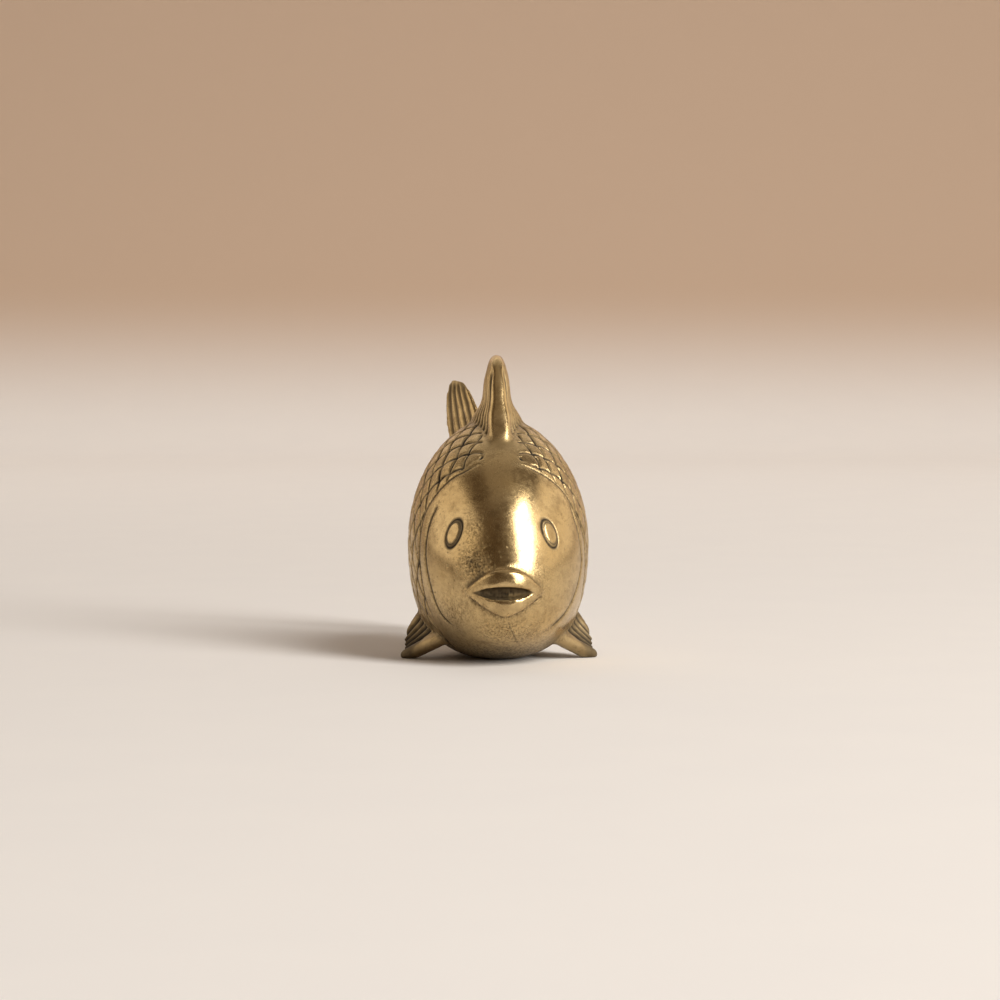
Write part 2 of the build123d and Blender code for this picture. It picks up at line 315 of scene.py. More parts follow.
# Strokes cut by hand: places in millimetres, near the surface
hoodPath = [(-5.0, -14.3, 10.2), (-4.1, -15.2, 11.1), (-3.1, -15.7, 11.95), (-1.9, -16.1, 12.7)]
lipPath = [(-4.7, -14.6, 9.1), (-3.6, -15.4, 8.35), (-2.6, -15.8, 7.75), (-1.3, -16.0, 7.05),
           (-0.1, -16.0, 6.6)]
strokes = {
    "gillRightSide": {"path": [(-8.1, -7.6, 20.4), (-9.4, -7.5, 17.8), (-9.9, -7.8, 13.9), (-9.3, -8.8, 10.0),
                               (-8.0, -9.8, 6.5), (-6.1, -11.4, 4.8)],
                      "width": 0.18, "depth": 0.18, "ends": (0.06, 0.16), "dark": 1.0},
    "gillLeftSide": {"path": [(8.7, -6.4, 20.8), (9.4, -6.7, 18.6), (10.3, -6.6, 15.6), (10.5, -6.4, 12.5),
                              (9.6, -7.8, 8.9), (8.0, -9.6, 6.3), (5.6, -11.7, 4.5)],
                     "width": 0.2, "depth": 0.2, "ends": (0.12, 0.12), "dark": 1.0},
    "napeRightSide": {"path": [(-2.6, -7.2, 25.5), (-4.3, -7.3, 24.7), (-6.2, -6.8, 23.7), (-8.0, -6.3, 22.0),
                               (-9.8, -5.7, 19.1), (-10.6, -6.0, 14.6), (-9.9, -6.7, 8.1), (-9.1, -7.2, 6.2)],
                      "width": 0.14, "depth": 0.15, "ends": (0.14, 0.05), "dark": 1.0},
    "napeLeftSide": {"path": [(1.9, -7.4, 25.4), (4.2, -7.4, 24.6), (6.2, -7.0, 23.6), (8.3, -6.3, 21.6),
                              (9.7, -6.0, 19.1), (10.8, -5.0, 16.0), (11.1, -4.3, 12.5), (10.9, -4.0, 8.8)],
                     "width": 0.14, "depth": 0.15, "ends": (0.14, 0.05), "dark": 1.0},
    "hoodRight": {"path": hoodPath,
                  "width": 0.3, "depth": 0.1, "ends": (0.15, 0.35), "dark": 0.7},
    "hoodLeft": {"path": [(0.8, -16.2, 12.9)] + mirrored(hoodPath)[::-1],
                 "width": 0.26, "depth": 0.06, "ends": (0.25, 0.15), "dark": 0.4},
    "lipRight": {"path": lipPath,
                 "width": 0.24, "depth": 0.16, "ends": (0.15, 0.05), "dark": 0.55},
    "lipLeft": {"path": mirrored(lipPath),
                "width": 0.22, "depth": 0.15, "ends": (0.15, 0.05), "dark": 0.5},
    "chinSeam": {"path": [(0.4, -15.7, 6.0), (0.8, -14.9, 5.0), (1.3, -13.9, 4.0), (1.9, -12.0, 2.7)],
                 "width": 0.07, "depth": 0.05, "ends": (0.1, 0.3), "dark": 0.6},
}


# A smooth line through the given places
def curvePoints(path, steps=10):
    knots = np.array([path[0]] + list(path) + [path[-1]], float)
    line = []
    for before, start, end, after in zip(knots, knots[1:], knots[2:], knots[3:]):
        for step in range(steps):
            t = step / steps
            line.append(0.5 * (2 * start + (end - before) * t
                               + (2 * before - 5 * start + 4 * end - after) * t * t
                               + (3 * start - before - 3 * end + after) * t ** 3))
    return np.array(line + [knots[-1]])


# Distance to a stroke along the surface, and the share of its length there
def strokeGap(points, normals, path, reach=1.6):
    line = curvePoints(path)
    gaps = np.full(len(points), np.inf)
    shares = np.zeros(len(points))
    near = ((points > line.min(0) - reach) & (points < line.max(0) + reach)).all(1)
    here = points[near]
    out = normals[near]
    best = np.full(len(here), np.inf)
    share = np.zeros(len(here))
    count = len(line) - 1
    for number in range(count):
        start, step = line[number], line[number + 1] - line[number]
        along = np.clip((here - start) @ step / (step @ step), 0, 1)
        rel = here - start - along[:, None] * step
        rel -= out * (rel * out).sum(1)[:, None]
        gap = np.linalg.norm(rel, axis=1)
        closer = gap < best
        best[closer] = gap[closer]
        share[closer] = (number + along[closer]) / count
    gaps[near] = best
    shares[near] = share
    return gaps, shares


# Scales: rows of pointed ovals, each with its free edge to the tail
scales = {
    "rowStep": 1.4,
    "pitch": 3.9,
    "power": 1.35,          # 1 is a rhombus, 2 an oval
    "lean": 0.2,            # how far rows run forward as they go down the side
    "shear": 0.4,
    "width": 0.23,
    "depth": 0.23,
    "dark": 1.55,           # past 1 the oxide fills the whole cut
    "lift": 0.05,           # how far a free edge stands up
    "liftReach": 0.6,
    "bandHalf": 2.1,        # smooth band along the nape
    "bandEdge": 0.5,
    "bandBack": 2.0,
    "bandFoot": 20.0,
    "napeEdge": (0.05, 0.3),
    "tailFade": (21.5, 24.5),
    "bellyFade": (1.2, 2.6),
    "middle": 0.49,         # level of the widest part, as a share of the body's height
    "waves": ((0.1, 1.1, 0.6), (0.08, 0.7, -1.3)),      # unevenness: size, turns per mm along and around
    "touch": (0.75, 0.35),  # mean depth of the cuts and how much it varies
    "touchWaves": ((1.7, 0.9), (0.8, -1.3)),
    "behind": 0.6,          # share of the lift by which the next scale sinks
    "least": 1e-4,
}


# Half width, top and bottom of the body along its length
profileCut = {"from": -12.0, "to": 25.6, "step": 0.5, "half": 0.6}


def bodyProfile():
    copy = nodeCopy(castSkin["bodyNodes"])
    points = np.array([vert.co for vert in copy.verts])
    copy.free()
    places = np.arange(profileCut["from"], profileCut["to"], profileCut["step"])
    rows = []
    for place in places:
        near = points[abs(points[:, 1] - place) < profileCut["half"]]
        rows.append((abs(near[:, 0]).max(), near[:, 2].max(), near[:, 2].min()))
    return places, np.array(rows)


def scaleField(points, labels, profile):
    places, rows = profile
    x, y, z = points.T
    half, top, bottom = (np.interp(y, places, rows[:, k]) for k in range(3))
    middle = bottom + (top - bottom) * scales["middle"]
    rise = np.where(z > middle, top - middle, middle - bottom)
    angle = np.arctan2(abs(x) / half, (z - middle) / rise)
    around = angle * np.sqrt((half ** 2 + rise ** 2) / 2)
    girth = (rows[:, 0] + (rows[:, 1] - rows[:, 2]) / 2) / 2
    steps = np.hypot(np.diff(places), np.diff(girth))
    run = np.interp(y, places, np.concatenate([[0], np.cumsum(steps)]))
    wobble = 0
    for (size, forward, sideways), side in zip(scales["waves"], (0, np.sign(x))):
        wobble = wobble + size * np.sin(forward * run + sideways * around + side)
    u = run + scales["lean"] * around + wobble
    v = around - scales["shear"] * run + wobble
    row = np.floor(u / scales["rowStep"])
    ahead = u / scales["rowStep"] - row
    wide = scales["pitch"] / 2
    beside = (v + (row % 2) * wide + wide) % scales["pitch"] - wide
    beside = np.maximum(abs(beside) / wide, scales["least"])
    ahead = np.maximum(ahead, scales["least"])
    power = scales["power"]
    edge = beside ** power + ahead ** power
    slope = np.hypot(power / wide * beside ** (power - 1), power / scales["rowStep"] * ahead ** (power - 1))
    gap = (edge - 1) / slope
    mean, swing = scales["touch"]
    first, second = (np.sin(forward * u + sideways * v) for forward, sideways in scales["touchWaves"])
    cut = np.exp(-(gap / scales["width"]) ** 2) * (mean + swing * first * second)
    fade = np.exp(-abs(gap) / scales["liftReach"])
    lift = np.where(gap < 0, fade, -scales["behind"] * fade)
    return cut, lift, scaleMask(points, labels)


def scaleMask(points, labels):
    x, y, z = points.T
    mask = (labels == 0).astype(float)
    for name, side in (("napeRightSide", -1), ("napeLeftSide", 1)):
        line = curvePoints(strokes[name]["path"])[::-1]
        border = np.interp(z, line[:, 2], line[:, 1])
        mask *= np.where(np.sign(x) == side, smoothStep(*scales["napeEdge"], y - border), 1)
    band = smoothStep(scales["bandHalf"], scales["bandHalf"] + scales["bandEdge"], abs(x))
    mask *= np.where((y < scales["bandBack"]) & (z > scales["bandFoot"]), band, 1)
    mask *= 1 - smoothStep(*scales["tailFade"], y)
    return mask * smoothStep(*scales["bellyFade"], z)


# Rays: grooves that fan out over the fins
rays = {
    "fade": (1.2, 1.0),     # over which a groove starts and ends
    "dorsal": {"count": 19, "front": -2.7, "back": 17.0, "start": -1.2, "length": 30,
               "lean": 29.2, "fan": 24.8, "width": 0.2, "depth": 0.24, "dark": 0.95, "edge": (0.6, 1.4)},
    "tail": {"shares": (0.2, 0.42, 0.64, 0.84), "middle": 17.5, "from": (4.0, 7.5), "narrow": (1.6, 3.4),
             "width": 0.3, "depth": 0.22, "dark": 0.75, "step": 0.5, "leastWidth": 0.1},
    "pectoral": {"count": 4, "start": -0.4, "length": 7.0, "trim": 0.8, "front": -1.9, "back": 2.1,
                 "lean": 26, "fan": -24, "width": 0.3, "depth": 0.3, "dark": 0.95, "droop": 50, "pitch": 31,
                 "web": (-1.9, -1.3), "webDark": 0.5,
                 "aim": (30, -0.8, 4.1)},       # a line from here along -X meets the body at the fin's root
}


def lineCut(along, across, start, end, width):
    rise, fall = rays["fade"]
    cut = np.exp(-(across / width) ** 2) * smoothStep(start, start + rise, along)
    return cut * smoothStep(-end, fall - end, -along)


def crestLine(points):
    y, z = points.T[1:]
    places = np.arange(y.min(), y.max(), profileCut["step"])
    return places, [z[abs(y - place) < profileCut["half"]].max() for place in places]


def dorsalCut(points, labels, profile):
    setting = rays["dorsal"]
    places, rows = profile
    y, z = points.T[1:]
    cut = np.zeros(len(points))
    for index in range(setting["count"]):
        share = index / (setting["count"] - 1)
        place = setting["front"] + (setting["back"] - setting["front"]) * share
        foot = np.interp(place, places, rows[:, 1])
        lean = math.radians(setting["lean"] + setting["fan"] * share)
        along = (y - place) * math.sin(lean) + (z - foot) * math.cos(lean)
        across = (y - place) * math.cos(lean) - (z - foot) * math.sin(lean)
        cut = np.maximum(cut, lineCut(along, across, setting["start"], setting["length"], setting["width"]))
    crest = np.interp(y, *crestLine(points[labels == 1]))
    return cut * (labels == 1) * smoothStep(*setting["edge"], crest - z)


# Grooves run with the outline of each lobe, from the stalk to the tip
def tailCut(points, labels):
    setting = rays["tail"]
    y, z = points.T[1:]
    here = labels == 2
    places = np.arange(z[here].min(), z[here].max(), setting["step"])
    rows = [y[here & (abs(z - place) < setting["step"])] for place in places]
    lead = np.interp(z, places, [row.min() for row in rows])
    trail = np.interp(z, places, [row.max() for row in rows])
    wide = np.maximum(trail - lead, setting["leastWidth"])
    cut = np.zeros(len(points))
    for share in setting["shares"]:
        cut = np.maximum(cut, np.exp(-((y - lead - share * wide) / setting["width"]) ** 2))
    cut *= smoothStep(*setting["from"], abs(z - setting["middle"])) * smoothStep(*setting["narrow"], wide)
    return cut * here


# The upper lobe is a full leaf: how far its front edge is raised along the fin
tailLeaf = {"front": 25.5, "length": 12.0, "foot": 18.0, "leastHeight": 1.0, "power": 2.0,
            "shares": (0.1, 0.35, 0.5, 0.7, 0.8, 0.9, 1.0), "rise": (0, 0.7, 1.4, 2.0, 1.9, 0.9, 0.4),
            "tips": ((35.3, 1.1), (6.0, -1.0))}


def shapeTail(points, labels):
    y, z = points.T[1:]
    top = np.interp(y, *crestLine(points[labels == 2]))
    height = np.maximum(top - tailLeaf["foot"], tailLeaf["leastHeight"])
    high = np.clip((z - tailLeaf["foot"]) / height, 0, 1) ** tailLeaf["power"]
    rise = np.interp((y - tailLeaf["front"]) / tailLeaf["length"], tailLeaf["shares"], tailLeaf["rise"])
    moved = points.copy()
    moved[:, 2] += high * rise * (labels == 2)
    for start, reach in tailLeaf["tips"]:
        past = np.maximum((moved[:, 2] - start) / reach, 0)
        moved[:, 2] += reach * (np.tanh(past) - past) * (labels == 2)
    return moved


# The fin's own axes: out along its span, back along its chord
def pectoralFrame(side):
    setting = rays["pectoral"]
    turn = Euler((0, math.radians(setting["droop"]), 0)).to_matrix()
    turn = turn @ Euler((math.radians(setting["pitch"]), 0, 0)).to_matrix()
    hit = bodyTree.ray_cast(Vector(setting["aim"]), Vector((-1, 0, 0)))[0]
    flip = np.array([side, 1, 1])
    return np.array(hit) * flip, np.array(turn).T * flip


def pectoralCut(points, labels):
    setting = rays["pectoral"]
    cut = np.zeros(len(points))
    web = np.zeros(len(points))
    for label, side in ((3, 1), (4, -1)):
        origin, axes = pectoralFrame(side)
        span, chord = ((points - origin) @ axes.T).T[:2]
        here = np.zeros(len(points))
        for index in range(setting["count"]):
            share = index / (setting["count"] - 1)
            place = setting["front"] + (setting["back"] - setting["front"]) * share
            lean = math.radians(setting["lean"] + setting["fan"] * share)
            along = span * math.cos(lean) + (chord - place) * math.sin(lean)
            across = (chord - place) * math.cos(lean) - span * math.sin(lean)
            end = setting["length"] - setting["trim"] * share
            here = np.maximum(here, lineCut(along, across, setting["start"], end, setting["width"]))
        cut = np.maximum(cut, here * (labels == label))
        web = np.maximum(web, smoothStep(*setting["web"], chord) * (labels == label))
    return cut, web


snoutBack = -12.0       # snout and lips lie in front of this

# Casting pits beside the nose, thickest on the fish's right
pits = {
    "seed": 11,
    "back": -9.0,
    "reach": 3.0,           # in sizes of the pit
    "dark": 9.0,            # oxide per millimetre of depth, up to the darkest
    "darkest": 0.7,
    "clusters": [{"count": 190, "centre": (-3.8, 13.2), "spread": (1.2, 1.4)},
                 {"count": 40, "centre": (-3.6, 13.0), "spread": (4.5, 5.0)},
                 {"count": 90, "centre": (-0.1, 9.7), "spread": (2.0, 0.4)}],
    "size": (0.07, 0.13),
    "depth": (0.02, 0.06),
    "deepest": 0.14,
    "lipEdge": (-0.1, 0.5),
}


def pitField(points):
    draw = np.random.default_rng(pits["seed"])
    field = np.zeros(len(points))
    x, y, z = points.T
    face = np.where(y < pits["back"])[0]
    for cluster in pits["clusters"]:
        count = cluster["count"]
        places = draw.normal(cluster["centre"], cluster["spread"], (count, 2))
        sizes = draw.uniform(*pits["size"], count)
        depths = draw.uniform(*pits["depth"], count)
        for (px, pz), size, depth in zip(places, sizes, depths):
            gap = ((x[face] - px) ** 2 + (z[face] - pz) ** 2) / size ** 2
            field[face] += np.where(gap < pits["reach"] ** 2, depth * np.exp(-gap), 0)
    lips = lipWeight(points) * (1 - mouthWeight(points))
    return np.minimum(field, pits["deepest"]) * (1 - lips)


def lipWeight(points):
    x, y, z = points.T
    upper = np.array(strokes["hoodLeft"]["path"])
    lower = np.array(strokes["lipLeft"]["path"])[::-1]
    below = np.interp(abs(x), upper[:, 0], upper[:, 2]) - z
    above = z - np.interp(abs(x), lower[:, 0], lower[:, 2])
    return smoothStep(*pits["lipEdge"], np.minimum(below, above)) * (y < snoutBack)


mouth = {"height": 9.72, "shift": -0.15, "halfWidth": 4.05, "halfGap": 0.85, "dark": 0.78,
         "edge": (-0.1, 0.12), "back": -10.0,
         # painted highlight: a strip with less oxide, low on the fish's left, where light catches the mouth's
         # lower inner wall
         "strip": 0.6, "highlightStripSide": (0.3, 0.7), "highlightStripDrop": (-0.1, 0.25)}


def mouthWeight(points):
    x, y, z = points.T
    inner = 1 - ((x - mouth["shift"]) / mouth["halfWidth"]) ** 2 - abs(z - mouth["height"]) / mouth["halfGap"]
    return smoothStep(*mouth["edge"], inner) * (y < mouth["back"])


# The upper lip runs softly into the nose, most in the middle
hood = {"height": 12.7, "reach": 1.2, "halfWidth": 4.5, "sideShare": 0.35, "noseHalf": 1.9, "rounds": 34,
        "lipMiddle": 9.8, "lipReach": 3.8, "lipShare": 0.2}


def hoodWeight(points):
    x, y, z = points.T
    side = np.exp(-(x / hood["halfWidth"]) ** 4)
    nose = np.exp(-(x / hood["noseHalf"]) ** 2)
    weight = np.exp(-((z - hood["height"]) / hood["reach"]) ** 2)
    weight *= hood["sideShare"] * side + (1 - hood["sideShare"]) * nose
    around = np.exp(-((z - hood["lipMiddle"]) / hood["lipReach"]) ** 4) * side
    weight = np.maximum(weight, around * hood["lipShare"])
    return weight * (y < snoutBack)


# Soft hollows that shape the snout and lips: place, reach and depth in millimetres
hollows = [
    {"place": (-3.6, -15.4, 13.1), "reach": 1.0, "depth": 0.15},
    {"place": (0, -16.0, 8.3), "reach": 1.4, "depth": -0.2},
]


def shapeFace(points, normals):
    for hollow in hollows:
        gap = np.linalg.norm(points - np.array(hollow["place"]), axis=1) / hollow["reach"]
        points = points - normals * (hollow["depth"] * np.exp(-gap ** 2))[:, None]
    return points


# How deep each vertex is cut, and how dark its patina is, with a painted highlight low in the mouth
def carving(points, normals, labels, profile, eyePlaces):
    depth = np.zeros(len(points))
    clear = np.ones(len(points))
    for stroke in strokes.values():
        gap, share = strokeGap(points, normals, stroke["path"])
        first, last = stroke["ends"]
        taper = smoothStep(0, first, share) * smoothStep(0, last, 1 - share)
        cut = np.exp(-(gap / stroke["width"]) ** 2) * taper
        depth += cut * stroke["depth"]
        clear *= 1 - cut * stroke["dark"]
    cut, lift, mask = scaleField(points, labels, profile)
    depth += (cut * scales["depth"] - lift * scales["lift"]) * mask
    clear *= 1 - np.clip(scales["dark"] * cut * mask, 0, 1)
    paddle, web = pectoralCut(points, labels)
    clear *= 1 - web * rays["pectoral"]["webDark"]
    grooves = {"dorsal": dorsalCut(points, labels, profile), "tail": tailCut(points, labels),
               "pectoral": paddle}
    for name, cut in grooves.items():
        setting = rays[name]
        depth += cut * setting["depth"]
        clear *= 1 - cut * setting["dark"]
    for place, bandDark in zip(eyePlaces, eyes["bandDark"]):
        eyeDepth, eyeClear = eyeCut(points, place, bandDark)
        depth += eyeDepth
        clear *= eyeClear
    pitDepth = pitField(points)
    depth += pitDepth
    clear *= 1 - np.clip(pitDepth * pits["dark"], 0, pits["darkest"])
    # Painted highlight: less oxide in a strip low on the fish's left, where light catches the mouth's lower
    # inner wall
    strip = mouth["strip"] * smoothStep(*mouth["highlightStripSide"], points[:, 0])
    strip *= smoothStep(*mouth["highlightStripDrop"], mouth["height"] - points[:, 2])
    clear *= 1 - mouth["dark"] * mouthWeight(points) * (1 - strip)
    return depth, 1 - clear


# Brown soil that polishing left behind, and painted shade low on the body: places on the face, and how much
# stays there
soil = {
    "face": [{"place": (-3.8, 13.4), "reach": (1.9, 2.2), "share": 1.0},
             {"place": (-4.2, 17.0), "reach": (1.5, 3.6), "share": 0.4},
             {"place": (0.5, 4.6), "reach": (5.0, 2.2), "share": 0.6},
             {"place": (4.6, 12.0), "reach": (1.5, 1.2), "share": 0.5},
             # the last face patch is painted shade on the lower right cheek
             {"place": (-6.5, 7.0), "reach": (2.5, 2.5), "share": 0.6}],
    "scales": 0.25,
    "roots": 0.45,
    "rootSide": 0.35,       # only where the surface faces this much sideways
    "strokes": 0.6,
    "strokeReach": 0.7,
    # painted shade: the next three settings darken the body toward the floor, in place of its contact shadow
    # and the shadow reflected from the floor
    "belly": 0.95,
    "bellyShadeRise": (0.4, 5.0),
    "bellyShadeDark": 0.55,
    # painted shade under the fish's right cheek, in place of the floor's shadow reflected in the metal
    "jowl": {"place": (-6.5, 4.0), "reach": (3.2, 3.0), "share": 0.4},     # under the fish's right cheek
    "jowlShadeBack": -2.0,
    "faceBack": -6.0,
    "all": 0.1,
}


def patchField(points, patch, back):
    x, y, z = points.T
    (px, pz), (rx, rz) = patch["place"], patch["reach"]
    return patch["share"] * np.exp(-((x - px) / rx) ** 2 - ((z - pz) / rz) ** 2) * (y < back)


# Painted shade: darker toward the floor, and darker under the fish's right cheek
def floorShadeWeight(points):
    return 1 - smoothStep(*soil["bellyShadeRise"], points[:, 2])


def paintedShade(points):
    jowl = patchField(points, soil["jowl"], soil["jowlShadeBack"])
    return np.maximum(jowl, soil["bellyShadeDark"] * floorShadeWeight(points))


# Soil on the surface, with painted shade near the floor and on the lower right cheek
def soilAndShadeField(points, normals, labels, mask, roots):
    field = np.maximum(soil["all"] * (labels == 0), soil["scales"] * mask)
    field = np.maximum(field, soil["roots"] * roots * (abs(normals[:, 0]) > soil["rootSide"]))
    field = np.maximum(field, soil["belly"] * floorShadeWeight(points) * (labels == 0))
    for stroke in strokes.values():
        gap = strokeGap(points, normals, stroke["path"])[0]
        field = np.maximum(field, soil["strokes"] * np.exp(-(gap / soil["strokeReach"]) ** 2))
    for patch in soil["face"]:
        field = np.maximum(field, patchField(points, patch, soil["faceBack"]))
    return field


# Finer mesh along the cuts
refine = {"dark": 0.13, "longest": 0.15, "rounds": 4}


def refineCuts(mesh, dark):
    bm = bmesh.new()
    bm.from_mesh(mesh)
    bm.verts.ensure_lookup_table()
    edges = [edge for edge in bm.edges
             if max(dark[edge.verts[0].index], dark[edge.verts[1].index]) > refine["dark"]
             and edge.calc_length() > refine["longest"]]
    bmesh.ops.subdivide_edges(bm, edges=edges, cuts=1, use_grid_fill=True)
    bm.to_mesh(mesh)
    bm.free()


def meshState(mesh):
    points = readArray(mesh.vertices, "co", 3).astype(float)
    edges = readArray(mesh.edges, "vertices", 2, np.int32)
    normals = readArray(mesh.vertex_normals, "vector", 3).astype(float)
    return points, edges, normals


def sculptedSkin():
    mesh = meltedSkin()
    points, edges, normals = meshState(mesh)
    print("skin melted:", len(points), "points")
    points = fair(points, edges, castSkin["fairRounds"], castSkin["fairPush"])
    labels = finLabels(points)
    points = fair(points, edges, castSkin["rootRounds"], (castSkin["rootPush"],),
                  rootWeight(labels, edges, castSkin["rootRings"]))
    points = fair(points, edges, castSkin["finRounds"], (castSkin["rootPush"],), (labels > 1) * 1.0)
    points = fair(points, edges, castSkin["crestRounds"], (castSkin["rootPush"],), (labels == 1) * 1.0)
    points = slimDorsal(points)
    points = shapeTail(points, labels)
    for spot in softSpots:
        points = fair(points, edges, spot["rounds"], (castSkin["rootPush"],), spotWeight(points, spot))
    points = fair(points, edges, hood["rounds"], (castSkin["rootPush"],), hoodWeight(points))
    setPoints(mesh, points)
    points, edges, normals = meshState(mesh)
    eyePlaces = [eyeFrame(name, points, normals) for name in castSkin["eyeNodes"]]
    for place in eyePlaces:
        points = smoothEyePatch(points, place)
    points = shapeFace(points, normals)
    setPoints(mesh, points)
    points, edges, normals = meshState(mesh)
    eyePlaces = [eyeFrame(name, points, normals) for name in castSkin["eyeNodes"]]
    profile = bodyProfile()
    dark = carving(points, normals, labels, profile, eyePlaces)[1]
    refineCuts(mesh, dark)
    points, edges, normals = meshState(mesh)
    print("skin refined:", len(points), "points")
    points = fair(points, edges, refine["rounds"], castSkin["fairPush"])
    setPoints(mesh, points)
    points, edges, normals = meshState(mesh)
    labels = finLabels(points)
    depth, dark = carving(points, normals, labels, profile, eyePlaces)
    roots = rootWeight(labels, edges, 2 * castSkin["rootRings"])
    # Oxide in the cuts and along the fin roots, soil, and painted shade near the floor and under the right
    # cheek
    dark = 1 - (1 - dark) * (1 - castSkin["rootDark"] * roots) * (1 - paintedShade(points))
    grime = soilAndShadeField(points, normals, labels, scaleMask(points, labels), roots)
    points = points - normals * depth[:, None]
    setPoints(mesh, points)
    print("skin carved")
    return mesh, labels, dark, grime, eyePlaces


# Pieces of the skin, one for each CAD node
def faceLabels(mesh, labels, eyePlaces):
    corners = readArray(mesh.loops, "vertex_index", 1, np.int32)
    starts = readArray(mesh.polygons, "loop_start", 1, np.int32)
    totals = readArray(mesh.polygons, "loop_total", 1, np.int32)
    points = readArray(mesh.vertices, "co", 3).astype(float)
    highest = np.maximum.reduceat(labels[corners], starts)
    lowest = np.minimum.reduceat(labels[corners], starts)
    chosen = np.where(highest == lowest, highest, 0)
    centres = np.stack([np.add.reduceat(points[corners, k], starts) / totals for k in range(3)], 1)
    for index, place in enumerate(eyePlaces):
        a, b, h = eyeCoordinates(centres, place)
        inside = np.hypot(a / eyes["length"], b / eyes["breadth"]) < eyes["studShare"]
        chosen[inside & (abs(h) < eyes["thick"])] = len(castSkin["finNodes"]) + 1 + index
    return chosen


def closeHoles(bm, depth):
    rim = [edge for edge in bm.edges if edge.is_boundary]
    made = bmesh.ops.extrude_edge_only(bm, edges=rim)["geom"]
    fresh = onlyKind(made, bmesh.types.BMVert)
    groups = []
    left = set(fresh)
    for start in fresh:
        if start in left:
            linked = linkedVerts(start, left)
            groups.append([vert for vert in fresh if vert in linked])
            left -= linked
    normal = bm.verts.layers.float_vector["restNormal"]
    for group in groups:
        middle = sum((vert.co for vert in group), Vector()) / len(group)
        inward = sum((vert[normal] for vert in group), Vector()) / len(group)
        bmesh.ops.pointmerge(bm, verts=group, merge_co=middle - inward * depth)


def cutPiece(mesh, wanted, capDepth):
    bm = bmesh.new()
    bm.from_mesh(mesh)
    layer = bm.faces.layers.int["piece"]
    other = [face for face in bm.faces if face[layer] != wanted]
    bmesh.ops.delete(bm, geom=other, context="FACES")
    closeHoles(bm, capDepth)
    return bm


def halveBody(bm, side):
    half = bm.copy()
    geom = list(half.verts) + list(half.edges) + list(half.faces)
    bmesh.ops.bisect_plane(half, geom=geom, plane_co=(0, 0, 0), plane_no=(side, 0, 0), clear_inner=True)
    rim = [edge for edge in half.edges if edge.is_boundary]
    made = bmesh.ops.holes_fill(half, edges=rim, sides=0)["faces"]
    bmesh.ops.triangulate(half, faces=made)
    return half


def finishPiece(bm, name, nodes, material):
    bmesh.ops.recalc_face_normals(bm, faces=bm.faces)
    if bm.calc_volume(signed=True) < 0:
        bmesh.ops.reverse_faces(bm, faces=bm.faces)
    print(name, "holds", round(bm.calc_volume(), 1), "cubic millimetres")
    bmesh.ops.scale(bm, vec=(mm,) * 3, verts=bm.verts)
    mesh = bpy.data.meshes.new(name)
    bm.to_mesh(mesh)
    bm.free()
    mesh.polygons.foreach_set("use_smooth", [True] * len(mesh.polygons))
    normals = readArray(mesh.attributes["restNormal"].data, "vector", 3)
    normals /= np.maximum(np.linalg.norm(normals, axis=1), tiny)[:, None]
    mesh.normals_split_custom_set_from_vertices(normals)
    mesh.materials.append(material)
    obj = newObject(name, mesh)
    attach(obj, "root")
    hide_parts(*nodes)
    print("piece", name, len(mesh.polygons), "faces")


def hexColor(code):
    parts = [int(code[k:k + 2], 16) / 255 for k in (1, 3, 5)]
    return [p / 12.92 if p <= 0.04045 else ((p + 0.055) / 1.055) ** 2.4 for p in parts] + [1]


def addNode(tree, kind, settings=None, inputs=None):
    node = tree.nodes.new(kind)
    for key, value in (settings or {}).items():
        setattr(node, key, value)
    for key, value in (inputs or {}).items():
        if isinstance(value, bpy.types.NodeSocket):
            tree.links.new(value, node.inputs[key])
        else:
            node.inputs[key].default_value = value
    return node


def newMaterial(name):
    material = bpy.data.materials.new(name)
    material.use_nodes = True
    tree = material.node_tree
    return material, tree, tree.nodes["Principled BSDF"]


def noiseNode(tree, place, size, detail, roughness=0.5):
    return addNode(tree, "ShaderNodeTexNoise", inputs={
        "Vector": place, "Scale": 1 / size, "Detail": detail, "Roughness": roughness}).outputs["Fac"]


def rangeNode(tree, value, low, high, start=0.0, end=1.0):
    return addNode(tree, "ShaderNodeMapRange", inputs={
        "Value": value, "From Min": low, "From Max": high, "To Min": start, "To Max": end}).outputs["Result"]


def mixNode(tree, share, first, second):
    return addNode(tree, "ShaderNodeMix", {"data_type": "RGBA"}, {0: share, 6: first, 7: second}).outputs[2]


brass = {
    "pale": "#DCC394",
    "deep": "#BFA06A",
    "stain": "#6E5330",
    "oxide": "#1E150B",
    "soil": "#38270F",
    "toneSize": 5 * mm,
    "mottleSize": 2.4 * mm,
    "mottleRange": (0.48, 0.75, 0.0, 0.5),      # noise from and to, share of stain from and to
    "stainSize": 0.7 * mm,
    "stainRange": (0.52, 0.78, 0.0, 0.55),
    "soilSize": 0.28 * mm,
    "soilRange": (0.44, 0.62),
    "polish": (0.3, 0.7, 0.17, 0.3),            # stain noise from and to, roughness from and to
    "soilRough": 0.5,
    "oxideRough": 0.65,
    "oxideMetal": 0.55,
    "brushSize": 0.12 * mm,
    "brushStretch": (1, 1, 0.12),
    "brushBump": (0.12, 0.02 * mm),             # strength and height
    "soilBump": (0.5, 0.04 * mm),
}
